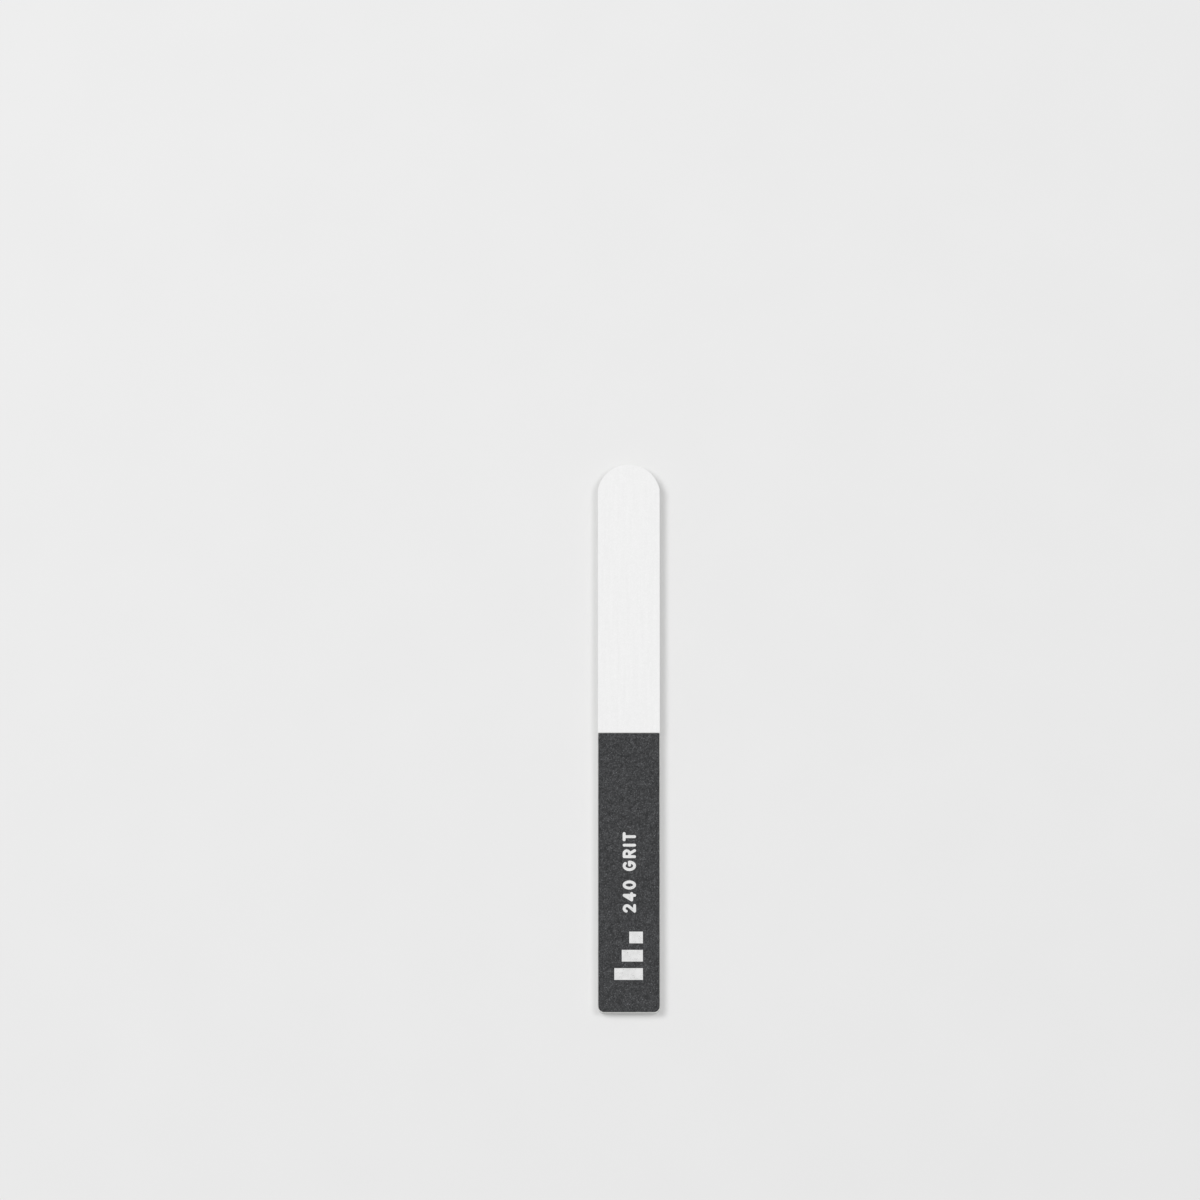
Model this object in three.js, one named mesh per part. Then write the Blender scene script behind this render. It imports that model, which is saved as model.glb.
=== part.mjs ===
// Three-grade sanding stick: a flat, cushioned abrasive stick die-cut in one stroke from a
// glued stack of sheets. A stiff plastic core carries a foam pad on each side. The front foam
// wears two abrasive sheets that meet at a butt seam, the coarse shaping sheet on the square
// end and the fine buffing sheet on the round end. The rear foam wears one polishing sheet.
//
// Millimetres. The stick lies on its polishing face: +Z points out of the two-sheet front,
// +Y runs along the stick towards its round end, +X runs across it.
// The origin is the middle of the underside.

import { ExtrudeGeometry, Group, Mesh, MeshStandardMaterial, Shape } from 'three';

// The die that cuts the whole stack.
const LENGTH = 178;
const WIDTH = 20;
const ROUND_END_RADIUS = 10.2; // a little over half the width, so the arc meets the sides at a faint corner
const CORNER_RADIUS = 2; // the two corners of the square end

// Where the two front sheets meet.
const SEAM_FROM_SQUARE_END = 90.5;
const SEAM_GAP = 0.15;

// The stiff shaping sheet springs back from the cut, so it ends just inside the foam below it.
const SHAPING_SHEET_INSET = 0.15;

// Thickness of each kind of layer.
const CORE = 0.8;
const FOAM = 1.2;
const TAPE = 0.1;
const SHAPING_PAPER = 0.18;
const SHAPING_GRIT = 0.12;
const BUFFING_PAPER = 0.2;
const BUFFING_GRIT = 0.06;
const POLISHING_FILM = 0.2;
const POLISHING_COAT = 0.05;

const ARC_STEPS = 20;
const SEAM_Y = SEAM_FROM_SQUARE_END - LENGTH / 2;

const FINISHES = {
  shapingGrit: { color: 0x494a4c, roughness: 0.75, metalness: 0 },
  shapingPaper: { color: 0x3c3c3d, roughness: 0.9, metalness: 0 },
  buffingGrit: { color: 0xf1f1f1, roughness: 0.85, metalness: 0 },
  buffingPaper: { color: 0xe9e8e4, roughness: 0.9, metalness: 0 },
  polishingCoat: { color: 0x9a9ca0, roughness: 0.4, metalness: 0 },
  polishingFilm: { color: 0xdadbdc, roughness: 0.5, metalness: 0 },
  foam: { color: 0xf4f4f2, roughness: 0.8, metalness: 0 },
  tape: { color: 0xe6e4dc, roughness: 0.3, metalness: 0 },
  core: { color: 0xfafafa, roughness: 0.45, metalness: 0 },
};

// The square end with its two rounded corners, drawn from left to right.
function drawSquareEnd(shape, inset) {
  const side = WIDTH / 2 - inset;
  const end = -LENGTH / 2 + inset;
  const radius = CORNER_RADIUS - inset;
  shape.absarc(-side + radius, end + radius, radius, Math.PI, 1.5 * Math.PI);
  shape.absarc(side - radius, end + radius, radius, 1.5 * Math.PI, 2 * Math.PI);
}

// The round end, drawn from right to left: one arc from side to side.
function drawRoundEnd(shape, inset) {
  const side = WIDTH / 2 - inset;
  const radius = ROUND_END_RADIUS - inset;
  const reach = Math.asin(side / radius);
  const centreY = LENGTH / 2 - ROUND_END_RADIUS;
  shape.absarc(0, centreY, radius, Math.PI / 2 - reach, Math.PI / 2 + reach);
}

// The outline of a layer that runs the whole length of the stick.
function wholeOutline() {
  const shape = new Shape();
  drawSquareEnd(shape, 0);
  drawRoundEnd(shape, 0);
  return shape.closePath();
}

// The outline of the front sheet on the square end, cut straight across at the seam.
function shapingOutline() {
  const side = WIDTH / 2 - SHAPING_SHEET_INSET;
  const cut = SEAM_Y - SEAM_GAP / 2;
  const shape = new Shape();
  drawSquareEnd(shape, SHAPING_SHEET_INSET);
  shape.lineTo(side, cut);
  shape.lineTo(-side, cut);
  return shape.closePath();
}

// The outline of the front sheet on the round end, cut straight across at the seam.
function buffingOutline() {
  const side = WIDTH / 2;
  const cut = SEAM_Y + SEAM_GAP / 2;
  const shape = new Shape();
  shape.moveTo(-side, cut);
  shape.lineTo(side, cut);
  drawRoundEnd(shape, 0);
  return shape.closePath();
}

// One flat layer, standing from z = bottom to z = bottom + thickness.
function layer(name, outline, bottom, thickness, finish) {
  const geometry = new ExtrudeGeometry(outline, {
    depth: thickness,
    bevelEnabled: false,
    curveSegments: ARC_STEPS,
  });
  const mesh = new Mesh(geometry, new MeshStandardMaterial(finish));
  mesh.name = name;
  mesh.position.z = bottom;
  return mesh;
}

// A pile of layers that share one outline, listed from the lowest up as [name, thickness, finish].
function stack(group, outline, bottom, sheets) {
  let height = bottom;
  for (const [name, thickness, finish] of sheets) {
    group.add(layer(name, outline, height, thickness, finish));
    height += thickness;
  }
  return height;
}

const stick = new Group();
stick.name = 'sanding_stick';

// Full-length layers, from the polishing face on the underside up to the front foam.
const frontFoamTop = stack(stick, wholeOutline(), 0, [
  ['polishing_coat', POLISHING_COAT, FINISHES.polishingCoat],
  ['polishing_film', POLISHING_FILM, FINISHES.polishingFilm],
  ['polishing_sheet_tape', TAPE, FINISHES.tape],
  ['foam_pad_rear', FOAM, FINISHES.foam],
  ['core_tape_rear', TAPE, FINISHES.tape],
  ['core_board', CORE, FINISHES.core],
  ['core_tape_front', TAPE, FINISHES.tape],
  ['foam_pad_front', FOAM, FINISHES.foam],
]);

// The coarse sheet on the square end.
stack(stick, shapingOutline(), frontFoamTop, [
  ['shaping_sheet_tape', TAPE, FINISHES.tape],
  ['shaping_paper', SHAPING_PAPER, FINISHES.shapingPaper],
  ['shaping_grit', SHAPING_GRIT, FINISHES.shapingGrit],
]);

// The fine sheet on the round end.
stack(stick, buffingOutline(), frontFoamTop, [
  ['buffing_sheet_tape', TAPE, FINISHES.tape],
  ['buffing_paper', BUFFING_PAPER, FINISHES.buffingPaper],
  ['buffing_grit', BUFFING_GRIT, FINISHES.buffingGrit],
]);

export default stick;
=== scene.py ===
"""Looks of a cushioned sanding stick: three abrasive faces on a foam and plastic laminate.

Every layer is rebuilt round the box of its CAD node. The three abrasive coats get a fine mesh
that carries their grain, and the layers below them get a fine edge, because their edge is all
that shows of them.
"""

import math

import bpy
import numpy as np
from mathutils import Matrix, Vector, noise


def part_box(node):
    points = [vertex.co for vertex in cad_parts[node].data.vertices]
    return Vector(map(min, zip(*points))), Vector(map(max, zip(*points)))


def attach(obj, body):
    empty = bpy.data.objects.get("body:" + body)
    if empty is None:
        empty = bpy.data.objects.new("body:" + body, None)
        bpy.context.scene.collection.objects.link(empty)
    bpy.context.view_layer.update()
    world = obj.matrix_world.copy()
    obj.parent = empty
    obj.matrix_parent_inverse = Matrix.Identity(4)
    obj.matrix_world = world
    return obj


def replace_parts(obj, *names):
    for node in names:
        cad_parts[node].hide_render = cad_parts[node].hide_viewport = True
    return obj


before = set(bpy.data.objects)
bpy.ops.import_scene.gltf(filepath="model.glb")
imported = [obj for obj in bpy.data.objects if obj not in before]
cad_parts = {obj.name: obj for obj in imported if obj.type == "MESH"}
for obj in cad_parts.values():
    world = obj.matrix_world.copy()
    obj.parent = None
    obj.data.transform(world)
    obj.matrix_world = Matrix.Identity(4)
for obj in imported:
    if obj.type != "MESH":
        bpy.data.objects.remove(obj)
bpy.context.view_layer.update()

MM = 0.001

# The die that cuts the whole stack.
STICK_LOW, STICK_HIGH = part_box("core_board")
HALF_WIDTH = STICK_HIGH.x
SQUARE_END = STICK_LOW.y
ROUND_END = STICK_HIGH.y
CORNER_RADIUS = 2 * MM
ROUND_END_RADIUS = 10.2 * MM
ARC_CENTRE = ROUND_END - ROUND_END_RADIUS
RIM_WIDTH = 0.3 * MM  # how far in from the cut an abrasive face rolls over

# Real sizes of the surface patterns.
SHAPING_GRAIN = 0.42 * MM  # 240 grit is 0.06 mm, drawn as clumps of grains so that it shows
BUFFING_GRAIN = 0.3 * MM  # 600 grit is 0.03 mm, drawn coarser for the same reason
POLISHING_PEBBLE = 0.45 * MM
FOAM_CELL = 0.26 * MM
CLUMP = 1.6 * MM  # patches where the grain was sprinkled thicker or thinner

# How deep the surface patterns are.
SHAPING_DEPTH = 0.075 * MM
BUFFING_DEPTH = 0.016 * MM
POLISHING_DEPTH = 0.006 * MM
FOAM_CELL_DEPTH = 0.06 * MM
FOAM_HOLLOW = 0.14 * MM  # how far the middle of the foam's cut edge springs back
FOAM_WANDER = 0.03 * MM  # how far the die's line wanders in the soft foam, to either side

# Mesh spacing.
SHAPING_STEP = 0.16 * MM
BUFFING_STEP = 0.18 * MM
POLISHING_STEP = 0.25 * MM
EDGE_STEP = 0.2 * MM
FOAM_EDGE_STEP = 0.1 * MM


# ---------------------------------------------------------------- outlines

class Layer:
    """The outline and height of one layer, read from its CAD node."""

    def __init__(self, node):
        low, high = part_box(node)
        self.side = high.x
        self.low, self.high = low.y, high.y
        self.bottom, self.top = low.z, high.z
        inset = HALF_WIDTH - high.x
        self.corner = CORNER_RADIUS - inset if low.y < SQUARE_END + MM else 0.0
        self.arc = ROUND_END_RADIUS - inset if high.y > ROUND_END - MM else 0.0

    def low_end(self, x):
        """Y of the end nearer the square end, at each x."""
        past = np.maximum(np.abs(x) - self.side + self.corner, 0)
        return self.low + self.corner - np.sqrt(np.maximum(self.corner**2 - past**2, 0))

    def high_end(self, x):
        """Y of the end nearer the round end, at each x."""
        if not self.arc:
            return np.full_like(x, self.high)
        return ARC_CENTRE + np.sqrt(self.arc**2 - x**2)

    def edge_distance(self, x, y):
        """How far each point lies inside the outline."""
        inside = np.minimum(self.side - np.abs(x), y - self.low)
        past_x = np.abs(x) - self.side + self.corner
        past_y = self.low + self.corner - y
        corner = self.corner - np.hypot(past_x, past_y)
        inside = np.where((past_x > 0) & (past_y > 0), corner, inside)
        if self.arc:
            tip = self.arc - np.hypot(x, y - ARC_CENTRE)
            return np.where(y > ARC_CENTRE, np.minimum(inside, tip), inside)
        return np.minimum(inside, self.high - y)

    def edge(self, step):
        """Evenly spaced points anticlockwise round the outline, and their outward normals."""
        across = self.side * np.sin(np.linspace(-math.pi / 2, math.pi / 2, 2001))
        back = across[::-1]
        x = np.concatenate([across, back, across[:1]])
        y = np.concatenate([self.low_end(across), self.high_end(back), self.low_end(across[:1])])
        run = np.concatenate([[0], np.cumsum(np.hypot(np.diff(x), np.diff(y)))])
        count = round(run[-1] / step)
        at = np.arange(count) * run[-1] / count
        x, y = np.interp(at, run, x), np.interp(at, run, y)
        along_x, along_y = np.roll(x, -1) - np.roll(x, 1), np.roll(y, -1) - np.roll(y, 1)
        length = np.hypot(along_x, along_y)
        return x, y, along_y / length, -along_x / length


# ---------------------------------------------------------------- relief

def smooth_noise(x, y, z, size):
    """Soft random waves from -1 to 1, about `size` long."""
    return np.array([noise.noise(Vector(p) / size) for p in zip(x, y, z)])


def packed_cells(x, y, z, size):
    """Cells about `size` wide: how far each point is from its cell's wall, from 0 on the wall to
    about 1 in the middle, and a random number from 0 to 1 for each cell."""
    depth, chance = np.empty(len(x)), np.empty(len(x))
    for i, point in enumerate(zip(x, y, z)):
        distances, centres = noise.voronoi(Vector(point) / size)
        depth[i] = distances[1] - distances[0]
        chance[i] = 0.5 + 0.5 * noise.cell(centres[0] * 57.0)
    return np.minimum(depth, 1), chance


def grain_relief(x, y, size, height):
    """Resin-bonded grains: each a small flat-topped lump, some standing prouder, with the resin
    thicker in some patches, where it fills the pits. Gives how far each point is above the
    layer's full height, and a tone from 0 in the pits to 1 on the tops."""
    flat = np.zeros_like(x)
    depth, chance = packed_cells(x, y, flat, size)
    resin = 0.5 + 0.5 * smooth_noise(x, y, flat, CLUMP)
    lump = np.minimum(depth * 2.2 + 0.4 * resin, 1) * (0.35 + 0.65 * chance)
    return height * (lump - 1) + 0.4 * height * (resin - 0.5), lump


def shaping_relief(x, y):
    return grain_relief(x, y, SHAPING_GRAIN, SHAPING_DEPTH)


def buffing_relief(x, y):
    return grain_relief(x, y, BUFFING_GRAIN, BUFFING_DEPTH)


def polishing_relief(x, y):
    flat = np.zeros_like(x)
    pebble = 0.5 + 0.5 * smooth_noise(x, y, flat, POLISHING_PEBBLE)
    swell = 0.5 + 0.5 * smooth_noise(x, y, flat, 4 * CLUMP)
    return POLISHING_DEPTH * (pebble - 1) + POLISHING_DEPTH * (swell - 1), pebble


# ---------------------------------------------------------------- meshes

def make_piece(name, points, faces, tone):
    """A smooth-shaded object from its points and faces, with its sharp edges kept crisp. tone is
    each point's place in the relief, which the material reads."""
    mesh = bpy.data.meshes.new(name)
    mesh.from_pydata(points.tolist(), [], faces)
    mesh.shade_smooth()
    mesh.set_sharp_from_angle(angle=math.radians(50))
    mesh.attributes.new("tone", "FLOAT", "POINT").data.foreach_set("value", tone)
    piece = bpy.data.objects.new(name, mesh)
    bpy.context.scene.collection.objects.link(piece)
    return piece


def grid_of_quads(number):
    """Quads between the points of a grid, from the table of their numbers."""
    corners = (number[:-1, :-1], number[:-1, 1:], number[1:, 1:], number[1:, :-1])
    return np.stack(corners, -1).reshape(-1, 4)


def ring_of_quads(lower, upper):
    """Quads between two closed rings of point numbers, facing out from an anticlockwise ring."""
    pairs = zip(lower, lower[1:] + lower[:1], upper[1:] + upper[:1], upper)
    return [list(quad) for quad in pairs]


def coat_piece(node, relief, step, rim_drop, face_up=True):
    """An abrasive coat: one face is a fine grid that carries its relief and rolls over at the
    cut, where it drops by rim_drop."""
    layer = Layer(node)
    columns = round(2.5 * layer.side / step)
    rows = round((layer.high - layer.low) / step)
    # Columns crowd towards the sides, so that they also meet the ends' curves at an even spacing.
    reach = math.asin(HALF_WIDTH / ROUND_END_RADIUS)
    across = layer.side * np.sin(np.linspace(-reach, reach, columns + 1)) / math.sin(reach)
    share = np.linspace(0, 1, rows + 1)[:, None]
    low_y, high_y = layer.low_end(across), layer.high_end(across)
    y = (low_y + (high_y - low_y) * share).ravel()
    x = np.tile(across, rows + 1)
    near_cut = np.clip(1 - layer.edge_distance(x, y) / RIM_WIDTH, 0, 1)
    rise, tone = relief(x, y)
    drop = rim_drop * near_cut**2 - rise * (1 - 0.5 * near_cut)
    face_z = layer.top - drop if face_up else layer.bottom + drop
    back_z = layer.bottom if face_up else layer.top

    number = np.arange(len(x)).reshape(rows + 1, columns + 1)
    ring = [*number[0, :-1], *number[:-1, -1], *number[-1, :0:-1], *number[:0:-1, 0]]
    ring = [int(n) for n in ring]
    back_ring = list(range(len(x), len(x) + len(ring)))
    face_points = np.stack([x, y, face_z], 1)
    back_points = np.stack([x[ring], y[ring], np.full(len(ring), back_z)], 1)
    faces = grid_of_quads(number).tolist() + ring_of_quads(back_ring, ring) + [back_ring[::-1]]
    if not face_up:
        faces = [face[::-1] for face in faces]
    points = np.concatenate([face_points, back_points])
    return make_piece(node + "_face", points, faces, np.concatenate([tone, tone[ring]]))


def edged_piece(node, step, rows, cut):
    """A flat layer with a fine cut edge. cut gives how far each point of the edge moves out and
    its tone, from its x, y, z and its share t of the layer's height."""
    layer = Layer(node)
    x, y, out_x, out_y = layer.edge(step)
    rings, points, tones = [], [], []
    for row in range(rows + 1):
        t = row / rows
        z = np.full_like(x, layer.bottom + (layer.top - layer.bottom) * t)
        out, tone = cut(x, y, z, t)
        rings.append(list(range(row * len(x), (row + 1) * len(x))))
        points.append(np.stack([x + out_x * out, y + out_y * out, z], 1))
        tones.append(tone)
    faces = [rings[0][::-1], rings[-1]]
    for lower, upper in zip(rings, rings[1:]):
        faces += ring_of_quads(lower, upper)
    return make_piece(node + "_cut", np.concatenate(points), faces, np.concatenate(tones))


def foam_cut(x, y, z, t):
    """The die squeezes the foam as it cuts, so its edge springs back hollow, and the cut leaves
    every cell on it open. Its tone is 1 deep in a cell and 0 on the wall between two; the foam's
    finish paints shade with it, darkest deep in a cell."""
    hollow = FOAM_HOLLOW * (1 - (2 * t - 1) ** 2)
    depth, chance = packed_cells(x, y, z, FOAM_CELL)
    cup = np.minimum(depth * 1.8, 1) * (0.3 + 0.7 * chance)
    wander = FOAM_WANDER * (smooth_noise(x, y, z, 6 * MM) - 1)
    open_cell = FOAM_CELL_DEPTH * cup * min(1, 6 * t * (1 - t))
    return wander - hollow - open_cell, cup


def board_cut(x, y, z, t):
    """Hard plastic parts under the die with a rounded upper lip and a slightly torn lower half."""
    lip = 0.05 * MM * max(0, t - 0.7) / 0.3
    torn = smooth_noise(x, y, z, 0.5 * MM)
    return 0.02 * MM * (torn * (1 - t) - 1) - lip, torn


def tape_cut(x, y, z, t):
    """Soft glue draws back a little way between the layers, not evenly."""
    drawn = smooth_noise(x, y, z, 1.5 * MM)
    return -0.06 * MM + 0.04 * MM * drawn, drawn


def sheet_cut(x, y, z, t):
    """Paper and film cut clean, with a few fibres."""
    fibre = smooth_noise(x, y, z, 0.4 * MM)
    return -0.015 * MM + 0.012 * MM * fibre, fibre


# ---------------------------------------------------------------- printed mark

# Starts are measured along the stick, and feet across it from its middle line.
BAR_WIDTH = 3.8 * MM
BAR_PITCH = 5.9 * MM
BAR_HEIGHTS = (9.2 * MM, 6.8 * MM, 4.4 * MM)
BARS_START = SQUARE_END + 10.5 * MM
BARS_FOOT = 4.5 * MM

CAP_HEIGHT = 4.3 * MM
STROKE = 0.94 * MM
LETTER_GAP = 0.82 * MM
NUMBER_LENGTH = 27 * MM  # room for all of its figures
NUMBER_START = SQUARE_END + 32.2 * MM
NUMBER_FOOT = 2.3 * MM

MARK_THICKNESS = 0.02 * MM
MARK_STEP = 0.09 * MM


def bow(centre_x, centre_y, radius_x, radius_y, start, end):
    """Points along part of an oval, between two angles in degrees."""
    angles = [math.radians(start + (end - start) * i / 24) for i in range(25)]
    return [(centre_x + radius_x * math.cos(a), centre_y + radius_y * math.sin(a)) for a in angles]


# Each figure is its pen strokes, in cap heights, and its width.
FIGURES = {
    "2": ([bow(0.27, 0.73, 0.27, 0.27, 165, -40) + [(0.0, 0.0), (0.56, 0.0)]], 0.56),
    "4": ([[(0.45, 0.0), (0.45, 1.0), (0.0, 0.28), (0.62, 0.28)]], 0.62),
    "0": ([bow(0.3, 0.5, 0.3, 0.5, 0, 360)], 0.6),
    "G": ([bow(0.36, 0.5, 0.36, 0.5, 50, 360) + [(0.42, 0.48)]], 0.72),
    "R": ([[(0.0, 0.0), (0.0, 1.0)] + bow(0.3, 0.74, 0.26, 0.26, 90, -90) + [(0.0, 0.48)],
           [(0.3, 0.48), (0.58, 0.0)]], 0.58),
    "I": ([[(0.0, 0.0), (0.0, 1.0)]], 0.0),
    "T": ([[(0.0, 1.0), (0.6, 1.0)], [(0.3, 1.0), (0.3, 0.0)]], 0.6),
    " ": ([], 0.14),
}


def distance_to_stroke(along, up, stroke):
    """How far each point is from a pen stroke's middle line."""
    nearest = np.full(len(along), np.inf)
    for (ax, ay), (bx, by) in zip(stroke, stroke[1:]):
        dx, dy = bx - ax, by - ay
        share = np.clip(((along - ax) * dx + (up - ay) * dy) / (dx * dx + dy * dy), 0, 1)
        nearest = np.minimum(nearest, np.hypot(along - ax - share * dx, up - ay - share * dy))
    return nearest


def grit_number_distance(along, up):
    """Signed distance to the lettering, whose first figure starts at along = 0, up = 0."""
    pen_height = CAP_HEIGHT - STROKE
    gap = STROKE + LETTER_GAP
    start = STROKE / 2
    nearest = np.full(len(along), np.inf)
    for figure in "240 GRIT":
        strokes, width = FIGURES[figure]
        for stroke in strokes:
            placed = [(start + px * pen_height, STROKE / 2 + py * pen_height) for px, py in stroke]
            nearest = np.minimum(nearest, distance_to_stroke(along, up, placed) - STROKE / 2)
        start += width * pen_height + gap
    return nearest


def grade_bars_distance(along, up):
    """Signed distance to three plain bars, tall to short, which stand for coarse to fine."""
    nearest = np.full(len(along), np.inf)
    for index, height in enumerate(BAR_HEIGHTS):
        middle = BAR_WIDTH / 2 + BAR_PITCH * index
        from_middle = np.abs(along - middle) - BAR_WIDTH / 2
        from_half = np.abs(up - height / 2) - height / 2
        nearest = np.minimum(nearest, np.maximum(from_middle, from_half))
    return nearest


def printed_piece(name, layer, distance, length, height, start_y, foot_x):
    """Ink lying on the grain. It reads from the square end towards the round end, so `along` is
    the stick's +Y and `up` is its -X. Points near the ink's outline slide onto it."""
    along_count, up_count = round(length / MARK_STEP) + 2, round(height / MARK_STEP) + 2
    along, up = np.meshgrid(
        (np.arange(along_count + 1) - 1) * MARK_STEP,
        (np.arange(up_count + 1) - 1) * MARK_STEP,
    )
    along, up = along.ravel(), up.ravel()
    gap = distance(along, up)
    tiny = 0.01 * MM
    slope_along = (distance(along + tiny, up) - gap) / tiny
    slope_up = (distance(along, up + tiny) - gap) / tiny
    slide = np.where(np.abs(gap) < 0.75 * MARK_STEP, gap, 0)
    inked = gap < 0.75 * MARK_STEP
    along, up = along - slope_along * slide, up - slope_up * slide

    x, y = foot_x - up, start_y + along
    cells = grid_of_quads(np.arange(len(x)).reshape(up_count + 1, along_count + 1))
    cells = cells[inked[cells].all(1) & (gap[cells].mean(1) < 0)]
    used, compact = np.unique(cells, return_inverse=True)
    x, y = x[used], y[used]
    rise, tone = shaping_relief(x, y)
    points = np.stack([x, y, layer.top + rise + MARK_THICKNESS], 1)
    piece = make_piece(name, points, compact.reshape(-1, 4).tolist(), tone)
    solid = piece.modifiers.new("ink body", "SOLIDIFY")
    solid.thickness = 2.5 * MARK_THICKNESS
    solid.offset = -1
    return piece


# ---------------------------------------------------------------- materials

def colour(hex_code):
    """A linear colour from its sRGB hex value."""
    parts = [((hex_code >> shift) & 255) / 255 for shift in (16, 8, 0)]
    return (*[p / 12.92 if p <= 0.04045 else ((p + 0.055) / 1.055) ** 2.4 for p in parts], 1.0)


def add(tree, kind, sockets, **settings):
    """Adds a shader node, with its settings. sockets gives each input's value, or the output that
    it is linked from."""
    made = tree.nodes.new("ShaderNode" + kind)
    for setting, value in settings.items():
        setattr(made, setting, value)
    for key, value in sockets.items():
        if isinstance(value, bpy.types.NodeSocket):
            tree.links.new(value, made.inputs[key])
        else:
            made.inputs[key].default_value = value
    return made


def start_material(name):
    """An empty material, and the place of each surface point on the stick, in metres."""
    made = bpy.data.materials.new(name)
    made.use_nodes = True
    tree = made.node_tree
    tree.nodes.clear()
    place = add(tree, "TexCoord", {}).outputs["Object"]
    return made, tree, place


# Settings of a Mix node that darkens one colour by another. Its inputs 0, 6 and 7 are the share
# and the two colours.
DARKEN = {"data_type": "RGBA", "blend_type": "MULTIPLY"}


def two_tone(tree, share, dark, light, low=0.0, high=1.0):
    """A colour between dark and light, as share goes from low to high."""
    spread = add(tree, "MapRange", {"Value": share, "From Min": low, "From Max": high})
    mixed = add(tree, "Mix", {0: spread.outputs[0], 6: dark, 7: light}, data_type="RGBA")
    return mixed.outputs[2]


def silicon_carbide_coat():
    """Black silicon carbide grain cured in resin: near-black and matt as a whole, with painted
    shade that darkens the pits, mottled where the grain lies thicker, and here and there a crystal
    face with a painted highlight, paler and less rough."""
    made, tree, place = start_material("silicon_carbide_coat")
    tone = add(tree, "Attribute", {}, attribute_name="tone").outputs["Fac"]
    crystal = add(tree, "TexVoronoi", {"Vector": place, "Scale": 3 / SHAPING_GRAIN})
    clump = add(tree, "TexNoise", {"Vector": place, "Scale": 1 / CLUMP, "Detail": 4.0})
    chance = add(tree, "SeparateColor", {0: crystal.outputs["Color"]})
    # Painted shade: the colour darkens from the tops of the grains down into the pits between them,
    # on top of each grain's own random tone.
    lumps_and_pit_shade = two_tone(tree, tone, colour(0x292a2b), colour(0x5f6062), 0.1, 0.9)
    crystals = two_tone(tree, chance.outputs[0], colour(0xc9c9ca), colour(0xffffff))
    patches = two_tone(tree, clump.outputs[0], colour(0xe6e6e6), colour(0xffffff), 0.3, 0.7)
    grains = add(tree, "Mix", {0: 1.0, 6: lumps_and_pit_shade, 7: crystals}, **DARKEN).outputs[2]
    body = add(tree, "Mix", {0: 1.0, 6: grains, 7: patches}, **DARKEN).outputs[2]
    # Painted highlight: a rare crystal face gets a paler base colour as its glint, and a lower
    # roughness as well.
    painted_glint = add(tree, "MapRange", {
        "Value": chance.outputs[1], "From Min": 0.988, "From Max": 0.992,
    })
    final = two_tone(tree, painted_glint.outputs[0], body, colour(0x747578))
    matt = add(tree, "MapRange", {"Value": painted_glint.outputs[0], "To Min": 0.78, "To Max": 0.3})
    bump = add(tree, "Bump", {
        "Height": crystal.outputs["Distance"], "Strength": 0.6, "Distance": 0.05 * MM,
    })
    shader = add(tree, "BsdfPrincipled", {
        "Base Color": final, "Roughness": matt.outputs[0], "IOR": 1.55,
        "Specular IOR Level": 0.25, "Normal": bump.outputs[0],
    })
    add(tree, "OutputMaterial", {"Surface": shader.outputs["BSDF"]})
    return made


def stearate_coat():
    """White aluminium oxide under a soapy zinc stearate coat that keeps dust from sticking: chalky
    white, very even, with the faintest grain, painted shade a touch darker in its pits, and coating
    streaks along the sheet."""
    made, tree, place = start_material("stearate_coat")
    tone = add(tree, "Attribute", {}, attribute_name="tone").outputs["Fac"]
    grain = add(tree, "TexVoronoi", {"Vector": place, "Scale": 2.5 / BUFFING_GRAIN})
    streak_place = add(tree, "Mapping", {"Vector": place, "Scale": (1.0, 0.06, 1.0)})
    streak = add(tree, "TexNoise", {
        "Vector": streak_place.outputs[0], "Scale": 1 / MM, "Detail": 3.0,
    })
    # Painted shade: the colour is a touch darker in the pits between the grains, on top of each
    # grain's own random tone.
    grains = two_tone(tree, tone, colour(0xe4e4e4), colour(0xececec))
    streaks = two_tone(tree, streak.outputs[0], colour(0xfcfcfc), colour(0xffffff), 0.3, 0.7)
    bump = add(tree, "Bump", {
        "Height": grain.outputs["Distance"], "Strength": 0.3, "Distance": 0.03 * MM,
    })
    body = add(tree, "Mix", {0: 1.0, 6: grains, 7: streaks}, **DARKEN).outputs[2]
    shader = add(tree, "BsdfPrincipled", {
        "Base Color": body, "Roughness": 0.82, "IOR": 1.5, "Normal": bump.outputs[0],
    })
    add(tree, "OutputMaterial", {"Surface": shader.outputs["BSDF"]})
    return made


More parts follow.
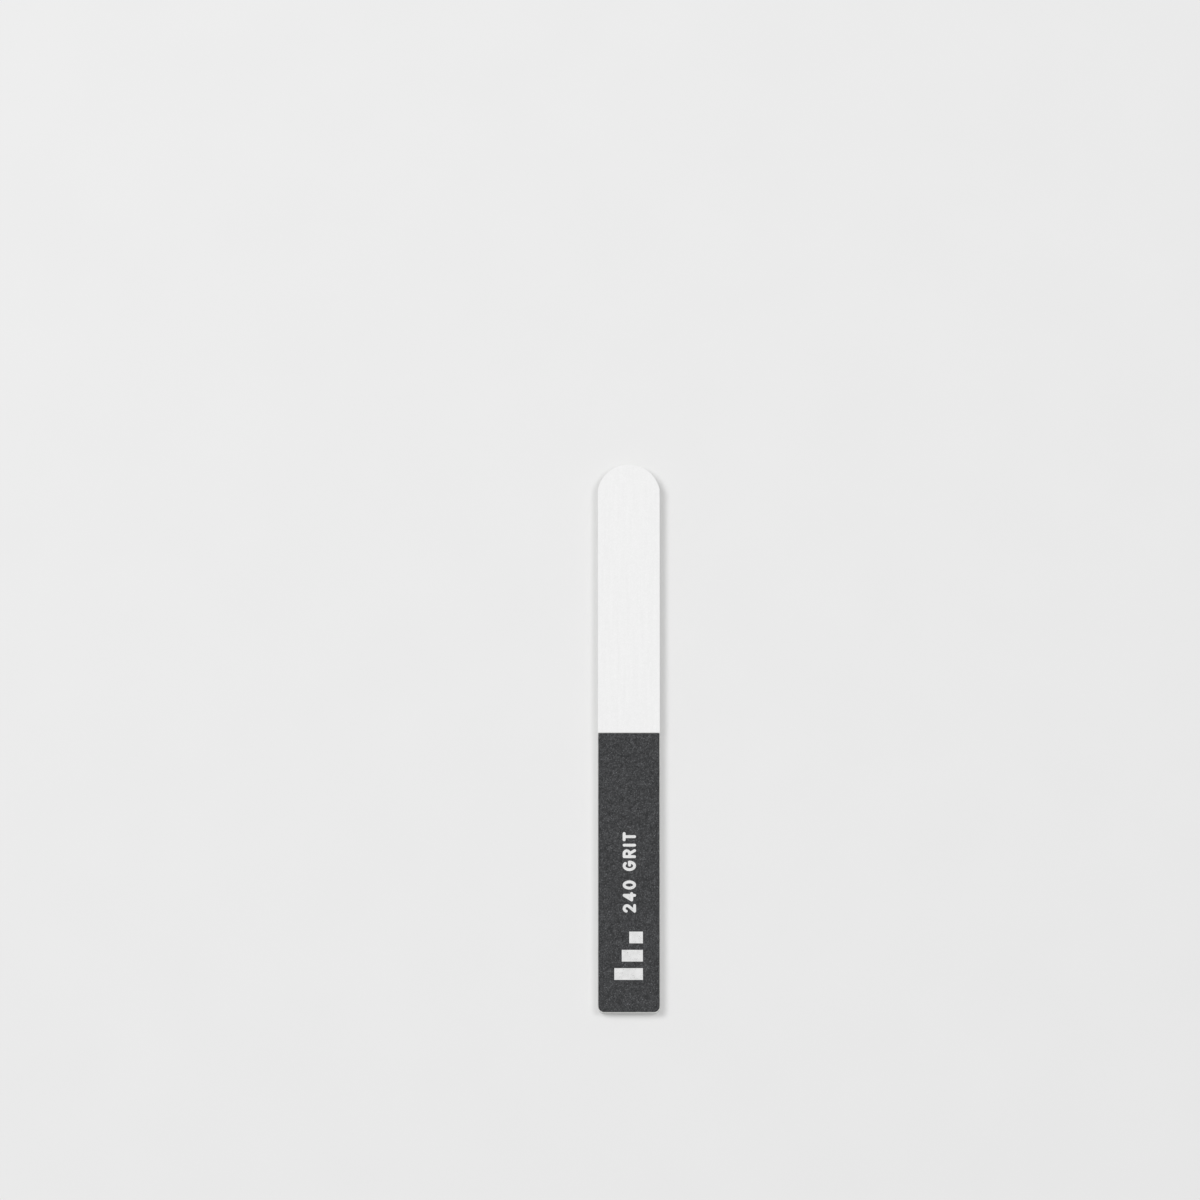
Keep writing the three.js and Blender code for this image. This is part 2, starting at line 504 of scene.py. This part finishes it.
def polishing_resin():
    """Very fine abrasive in a soft polyurethane film: an even mid grey with a satin shine, fine
    pebbling with painted shade a touch darker in its hollows, and faint drag lines from the knife
    that spread it."""
    made, tree, place = start_material("polishing_resin")
    tone = add(tree, "Attribute", {}, attribute_name="tone").outputs["Fac"]
    speck = add(tree, "TexVoronoi", {"Vector": place, "Scale": 1 / (0.15 * MM)})
    chance = add(tree, "SeparateColor", {0: speck.outputs["Color"]})
    drag_place = add(tree, "Mapping", {"Vector": place, "Scale": (1.0, 0.02, 1.0)})
    drag = add(tree, "TexNoise", {
        "Vector": drag_place.outputs[0], "Scale": 1 / (0.6 * MM), "Detail": 4.0,
    })
    pebble = add(tree, "TexNoise", {"Vector": place, "Scale": 1 / POLISHING_PEBBLE, "Detail": 3.0})
    specks = two_tone(tree, chance.outputs[0], colour(0x8c8e92), colour(0x979a9e))
    lines = two_tone(tree, drag.outputs[0], colour(0xf2f2f2), colour(0xffffff), 0.3, 0.7)
    # Painted shade: the pebbling is a touch darker in its hollows than on its swells.
    pebble_hollow_shade = two_tone(tree, tone, colour(0xf4f4f4), colour(0xffffff), 0.3, 0.7)
    shine = add(tree, "MapRange", {"Value": drag.outputs[0], "To Min": 0.32, "To Max": 0.46})
    bump = add(tree, "Bump", {"Height": pebble.outputs[0], "Strength": 0.25, "Distance": 0.05 * MM})
    drawn = add(tree, "Mix", {0: 1.0, 6: specks, 7: lines}, **DARKEN).outputs[2]
    body = add(tree, "Mix", {0: 1.0, 6: drawn, 7: pebble_hollow_shade}, **DARKEN).outputs[2]
    shader = add(tree, "BsdfPrincipled", {
        "Base Color": body, "Roughness": shine.outputs[0], "IOR": 1.5, "Normal": bump.outputs[0],
    })
    add(tree, "OutputMaterial", {"Surface": shader.outputs["BSDF"]})
    return made


def cut_eva_foam():
    """Cross-linked EVA foam, die-cut: soft white, with the cut cells as tiny cups, darker inside
    with painted shade.
    """
    made, tree, place = start_material("cut_eva_foam")
    tone = add(tree, "Attribute", {}, attribute_name="tone").outputs["Fac"]
    small = add(tree, "TexVoronoi", {"Vector": place, "Scale": 2.4 / FOAM_CELL},
                feature="DISTANCE_TO_EDGE")
    # Painted shade: each open cell darkens from its wall down to its deepest point, and a second,
    # finer cell pattern darkens the same way inside.
    cells = two_tone(tree, tone, colour(0xf1f1ef), colour(0xe0e0dc), 0.1, 0.9)
    painted_pore_shade = two_tone(tree, small.outputs["Distance"], colour(0xffffff), colour(0xf0f0ef), 0.05, 0.3)
    bump = add(tree, "Bump", {
        "Height": small.outputs["Distance"], "Strength": 0.6, "Distance": -0.05 * MM,
    })
    body = add(tree, "Mix", {0: 1.0, 6: cells, 7: painted_pore_shade}, **DARKEN).outputs[2]
    shader = add(tree, "BsdfPrincipled", {
        "Base Color": body, "Roughness": 0.85, "IOR": 1.48, "Normal": bump.outputs[0],
    })
    add(tree, "OutputMaterial", {"Surface": shader.outputs["BSDF"]})
    return made


def cut_polystyrene():
    """Extruded high-impact polystyrene sheet, die-cut: hard, milky white, a little glossy, with
    upright tear lines on its edge."""
    made, tree, place = start_material("cut_polystyrene")
    tear_place = add(tree, "Mapping", {"Vector": place, "Scale": (1.0, 1.0, 0.12)})
    tear = add(tree, "TexNoise", {
        "Vector": tear_place.outputs[0], "Scale": 1 / (0.16 * MM), "Detail": 3.0,
    })
    body = two_tone(tree, tear.outputs[0], colour(0xe6e7e6), colour(0xf6f7f6), 0.3, 0.7)
    bump = add(tree, "Bump", {"Height": tear.outputs[0], "Strength": 0.4, "Distance": 0.04 * MM})
    shader = add(tree, "BsdfPrincipled", {
        "Base Color": body, "Roughness": 0.38, "IOR": 1.59, "Normal": bump.outputs[0],
    })
    add(tree, "OutputMaterial", {"Surface": shader.outputs["BSDF"]})
    return made


def cut_paper(name, dark, light):
    """Backing paper seen on edge: matt, with fibres that lie along the sheet."""
    made, tree, place = start_material(name)
    fibre_place = add(tree, "Mapping", {"Vector": place, "Scale": (0.3, 0.3, 2.0)})
    fibre = add(tree, "TexNoise", {
        "Vector": fibre_place.outputs[0], "Scale": 1 / (0.2 * MM), "Detail": 4.0,
    })
    body = two_tone(tree, fibre.outputs[0], colour(dark), colour(light), 0.3, 0.7)
    bump = add(tree, "Bump", {"Height": fibre.outputs[0], "Strength": 0.4, "Distance": 0.03 * MM})
    shader = add(tree, "BsdfPrincipled", {
        "Base Color": body, "Roughness": 0.9, "IOR": 1.5, "Normal": bump.outputs[0],
    })
    add(tree, "OutputMaterial", {"Surface": shader.outputs["BSDF"]})
    return made


def polyester_film():
    """Cast polyester film seen on edge: pale, smooth and slightly shiny."""
    made, tree, place = start_material("polyester_film")
    cloud = add(tree, "TexNoise", {"Vector": place, "Scale": 1 / MM, "Detail": 3.0})
    body = two_tone(tree, cloud.outputs[0], colour(0xcfd1d3), colour(0xdfe0e1), 0.3, 0.7)
    shader = add(tree, "BsdfPrincipled", {"Base Color": body, "Roughness": 0.35, "IOR": 1.58})
    add(tree, "OutputMaterial", {"Surface": shader.outputs["BSDF"]})
    return made


def acrylic_tape():
    """Clear acrylic glue on a thin carrier: a faintly yellow, wet-looking line between layers."""
    made, tree, place = start_material("acrylic_tape")
    smear = add(tree, "TexNoise", {"Vector": place, "Scale": 1 / (0.8 * MM), "Detail": 3.0})
    body = two_tone(tree, smear.outputs[0], colour(0xd3d0c4), colour(0xe6e4da), 0.3, 0.7)
    shader = add(tree, "BsdfPrincipled", {"Base Color": body, "Roughness": 0.28, "IOR": 1.47})
    add(tree, "OutputMaterial", {"Surface": shader.outputs["BSDF"]})
    return made


def screen_ink():
    """Pale grey screen ink on grit: it lies thick on the tops of the grains, and so thin in the
    deepest pits that the dark coat shows through."""
    made, tree, place = start_material("screen_ink")
    tone = add(tree, "Attribute", {}, attribute_name="tone").outputs["Fac"]
    cloud = add(tree, "TexNoise", {"Vector": place, "Scale": 1 / CLUMP, "Detail": 2.0})
    ink = two_tone(tree, cloud.outputs[0], colour(0xd1d1d1), colour(0xdedede), 0.3, 0.7)
    worn = two_tone(tree, tone, colour(0x7a7a7c), ink, 0.0, 0.13)
    shader = add(tree, "BsdfPrincipled", {"Base Color": worn, "Roughness": 0.6, "IOR": 1.5})
    add(tree, "OutputMaterial", {"Surface": shader.outputs["BSDF"]})
    return made


def matt_board():
    """The pale painted board that the stick lies on."""
    made, tree, place = start_material("matt_board")
    cloud = add(tree, "TexNoise", {"Vector": place, "Scale": 1 / (30 * MM), "Detail": 3.0})
    body = two_tone(tree, cloud.outputs[0], colour(0xe0e0e0), colour(0xe1e1e1), 0.3, 0.7)
    shader = add(tree, "BsdfPrincipled", {
        "Base Color": body, "Roughness": 0.9, "IOR": 1.45, "Specular IOR Level": 0.2,
    })
    add(tree, "OutputMaterial", {"Surface": shader.outputs["BSDF"]})
    return made


# ---------------------------------------------------------------- the stick

def dress(piece, finish):
    """Gives a piece its finish, and ties it to the stick."""
    piece.data.materials.append(finish)
    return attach(piece, "root")


def build_coats():
    """The three abrasive faces."""
    shaping = coat_piece("shaping_grit", shaping_relief, SHAPING_STEP, rim_drop=0.05 * MM)
    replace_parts(dress(shaping, silicon_carbide_coat()), "shaping_grit")
    buffing = coat_piece("buffing_grit", buffing_relief, BUFFING_STEP, rim_drop=0.03 * MM)
    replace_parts(dress(buffing, stearate_coat()), "buffing_grit")
    polishing = coat_piece(
        "polishing_coat", polishing_relief, POLISHING_STEP, rim_drop=0.02 * MM, face_up=False
    )
    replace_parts(dress(polishing, polishing_resin()), "polishing_coat")


def build_foam():
    """The two cushions."""
    finish = cut_eva_foam()
    for node in ("foam_pad_front", "foam_pad_rear"):
        piece = edged_piece(node, FOAM_EDGE_STEP, 12, foam_cut)
        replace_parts(dress(piece, finish), node)


def build_sheets():
    """The core, the backings and the tapes."""
    dark_paper = cut_paper("latex_paper", 0x303031, 0x474748)
    white_paper = cut_paper("bleached_paper", 0xe2e1dc, 0xf1f0ed)
    tape = acrylic_tape()
    sheets = (
        ("core_board", "core", cut_polystyrene(), 6, board_cut),
        ("shaping_paper", "shaping_paper", dark_paper, 2, sheet_cut),
        ("buffing_paper", "buffing_paper", white_paper, 2, sheet_cut),
        ("polishing_film", "polishing_film", polyester_film(), 2, sheet_cut),
        ("shaping_sheet_tape", "tape", tape, 1, tape_cut),
        ("buffing_sheet_tape", "tape", tape, 1, tape_cut),
        ("polishing_sheet_tape", "tape", tape, 1, tape_cut),
        ("core_tape_front", "tape", tape, 1, tape_cut),
        ("core_tape_rear", "tape", tape, 1, tape_cut),
    )
    for node, slot, finish, rows, cut in sheets:
        piece = edged_piece(node, EDGE_STEP, rows, cut)
        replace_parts(dress(piece, finish), node)


def build_print():
    """The grade mark on the dark face: three bars, then the grit number."""
    coat = Layer("shaping_grit")
    ink = screen_ink()
    bars_length = 2 * BAR_PITCH + BAR_WIDTH
    bars = printed_piece("grade_bars_print", coat, grade_bars_distance, bars_length,
                         BAR_HEIGHTS[0], BARS_START, BARS_FOOT)
    number = printed_piece("grit_number_print", coat, grit_number_distance, NUMBER_LENGTH,
                           CAP_HEIGHT, NUMBER_START, NUMBER_FOOT)
    for piece in (bars, number):
        dress(piece, ink)


# ---------------------------------------------------------------- studio

BOARD_HALF = 1500 * MM
VIEW_WIDTH = 388 * MM  # what the view takes in, across the stick
VIEW_DISTANCE = 3000 * MM
VIEW_TILT = 8  # degrees from straight down, from the square end's side
VIEW_MIDDLE = Vector((-9.3 * MM, 45 * MM, STICK_HIGH.z))
SENSOR = 36  # in the camera's own unit, as its lens is


def add_floor():
    """A wide board under the stick."""
    line = np.linspace(-BOARD_HALF, BOARD_HALF, 25)
    x, y = np.meshgrid(line, line)
    points = np.stack([x.ravel(), y.ravel(), np.zeros(x.size)], 1)
    faces = grid_of_quads(np.arange(x.size).reshape(x.shape)).tolist()
    floor = make_piece("board", points, faces, np.zeros(x.size))
    floor.data.materials.append(matt_board())


def add_softbox(name, place, width, height, watts):
    """An area light that faces the stick."""
    light = bpy.data.lights.new(name, "AREA")
    light.shape = "RECTANGLE"
    light.size, light.size_y = width, height
    light.energy = watts
    lamp = bpy.data.objects.new(name, light)
    lamp.location = place
    lamp.rotation_euler = (-Vector(place)).to_track_quat("-Z", "Y").to_euler()
    bpy.context.scene.collection.objects.link(lamp)


def add_light():
    """A broad softbox up to the left, a weaker one to the right, and an even pale room."""
    add_softbox("softbox", (-1.2, 0.6, 2.2), 1.2, 1.0, 29)
    add_softbox("fill softbox", (1.0, 0.3, 2.3), 1.0, 0.8, 15)
    room = bpy.data.worlds.new("room")
    room.use_nodes = True
    background = room.node_tree.nodes["Background"]
    background.inputs["Color"].default_value = colour(0xf6f6f6)
    background.inputs["Strength"].default_value = 0.58
    bpy.context.scene.world = room
    bpy.context.scene.view_settings.view_transform = "Standard"


def add_camera():
    """A long lens over the stick, leaning a little towards its square end."""
    tilt = math.radians(VIEW_TILT)
    lens = bpy.data.cameras.new("camera")
    lens.sensor_width = SENSOR
    lens.lens = SENSOR * VIEW_DISTANCE / VIEW_WIDTH
    lens.clip_start = 10 * MM
    camera = bpy.data.objects.new("camera", lens)
    camera.location = VIEW_MIDDLE + VIEW_DISTANCE * Vector((0, -math.sin(tilt), math.cos(tilt)))
    camera.rotation_euler = (tilt, 0, 0)
    bpy.context.scene.collection.objects.link(camera)
    bpy.context.scene.camera = camera


add_camera()
add_light()
add_floor()
build_foam()
build_sheets()
build_coats()
build_print()
